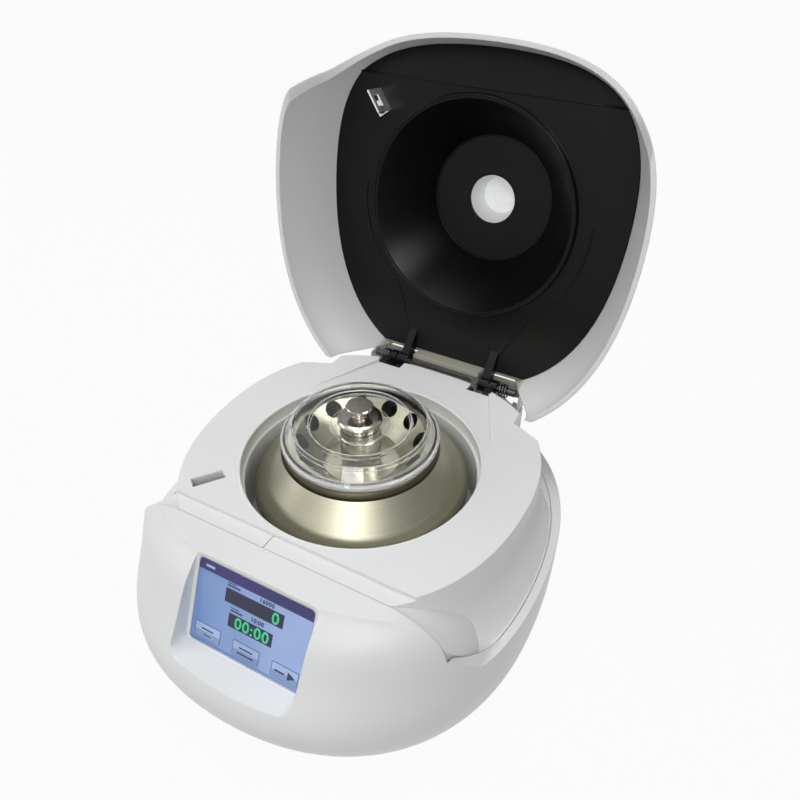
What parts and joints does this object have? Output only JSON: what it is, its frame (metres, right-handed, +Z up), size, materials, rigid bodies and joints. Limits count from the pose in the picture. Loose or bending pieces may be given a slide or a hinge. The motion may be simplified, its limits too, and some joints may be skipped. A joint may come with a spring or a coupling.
{
  "type": "mini centrifuge",
  "caption": "Bench-top mini centrifuge with a hinged domed lid standing open, a lidded angle rotor in a round chamber, and a leaning touch screen in a rounded white housing.",
  "frame": {"origin": "on the table, under the middle of the whole object with its lid open", "axes": "+Z up, -Y towards the user in front of the screen, +X to the user's right, parallel to the lid's hinge"},
  "size_m": [0.253, 0.3692, 0.3128],
  "materials": {
    "white_shell": "satin",
    "black_liner": "satin",
    "white_trim": "matt",
    "rotor_alloy": "satin",
    "clear_cover": "gloss",
    "bright_steel": "satin",
    "knob_chrome": "gloss",
    "black_steel": "satin",
    "spring_steel": "satin",
    "dark_rubber": "matt",
    "bowl_metal": "satin",
    "base_metal": "satin",
    "motor_metal": "satin",
    "screen_glass": "gloss",
    "module_black": "matt",
    "board_green": "satin",
    "component_dark": "satin",
    "post_metal": "satin",
    "black_plastic": "satin",
    "rocker_plastic": "gloss"
  },
  "bodies": {
    "base": {"lower_housing": "white_shell", "upper_cover": "white_shell", "base_plate": "base_metal", "feet": "dark_rubber", "chamber_bowl": "bowl_metal", "chamber_seal": "dark_rubber", "motor_body": "motor_metal", "motor_plate": "bright_steel", "motor_posts": "bright_steel", "motor_dampers": "dark_rubber", "touch_screen": "screen_glass", "display_module": "module_black", "display_board": "board_green", "control_board": "board_green", "control_parts": "component_dark", "supply_board": "board_green", "supply_parts": "component_dark", "board_posts": "post_metal", "inlet_body": "black_plastic", "inlet_pins": "post_metal", "switch_frame": "black_plastic", "hinge_bracket_right": "black_steel", "hinge_bracket_left": "black_steel", "hinge_pins": "bright_steel", "hinge_spring_right": "spring_steel", "hinge_spring_left": "spring_steel", "lock_frame": "bright_steel", "hook_pin": "bright_steel", "solenoid": "motor_metal"},
    "rotor": {"motor_shaft": "bright_steel", "drive_cone": "bright_steel", "rotor_body": "rotor_alloy", "rotor_hub": "bright_steel"},
    "rotor_lid": {"rotor_lid": "clear_cover", "rotor_lid_seal": "dark_rubber"},
    "knob": {"rotor_lid_knob": "knob_chrome"},
    "lid": {"lid_shell": "white_shell", "lid_liner": "black_liner", "port_tube": "white_trim", "port_cap": "white_trim", "striker": "bright_steel", "striker_screws": "black_steel", "hinge_arm_right": "black_steel", "hinge_arm_left": "black_steel"},
    "rocker": {"power_rocker": "rocker_plastic"},
    "hook": {"lock_hook": "bright_steel"},
    "plunger": {"plunger": "bright_steel"}
  },
  "joints": [
    {"name": "lid_hinge", "type": "hinge", "parent": "base", "child": "lid", "pos_m": [0, 0.08512, 0.0914], "axis": [1, 0, 0], "range_deg": [0, 98.6]},
    {"name": "rotor_spin", "type": "hinge", "parent": "base", "child": "rotor", "pos_m": [0, -0.03308, 0.07], "axis": [0, 0, 1], "continuous": true},
    {"name": "rotor_lid_lift", "type": "slide", "parent": "rotor", "child": "rotor_lid", "axis": [0, 0, 1], "range_m": [0, 0.015]},
    {"name": "knob_turn", "type": "hinge", "parent": "rotor_lid", "child": "knob", "pos_m": [0, -0.03308, 0.13], "axis": [0, 0, 1], "continuous": true},
    {"name": "power_rocker", "type": "hinge", "parent": "base", "child": "rocker", "pos_m": [0.008, 0.09392, 0.032], "axis": [1, 0, 0], "range_deg": [0, 16]},
    {"name": "hook_turn", "type": "hinge", "parent": "base", "child": "hook", "pos_m": [-0.06621, -0.09769, 0.08], "axis": [-0.5878, -0.809, 0], "range_deg": [0, 16], "stiffness_Nm_per_rad": 0.02},
    {"name": "plunger_slide", "type": "slide", "parent": "base", "child": "plunger", "axis": [-0.809, 0.5878, 0], "range_m": [0, 0.0019]}
  ],
  "couplings": [
    {"joint": "hook_turn", "follows": "plunger_slide", "rad_per_m": 138.9}
  ]
}
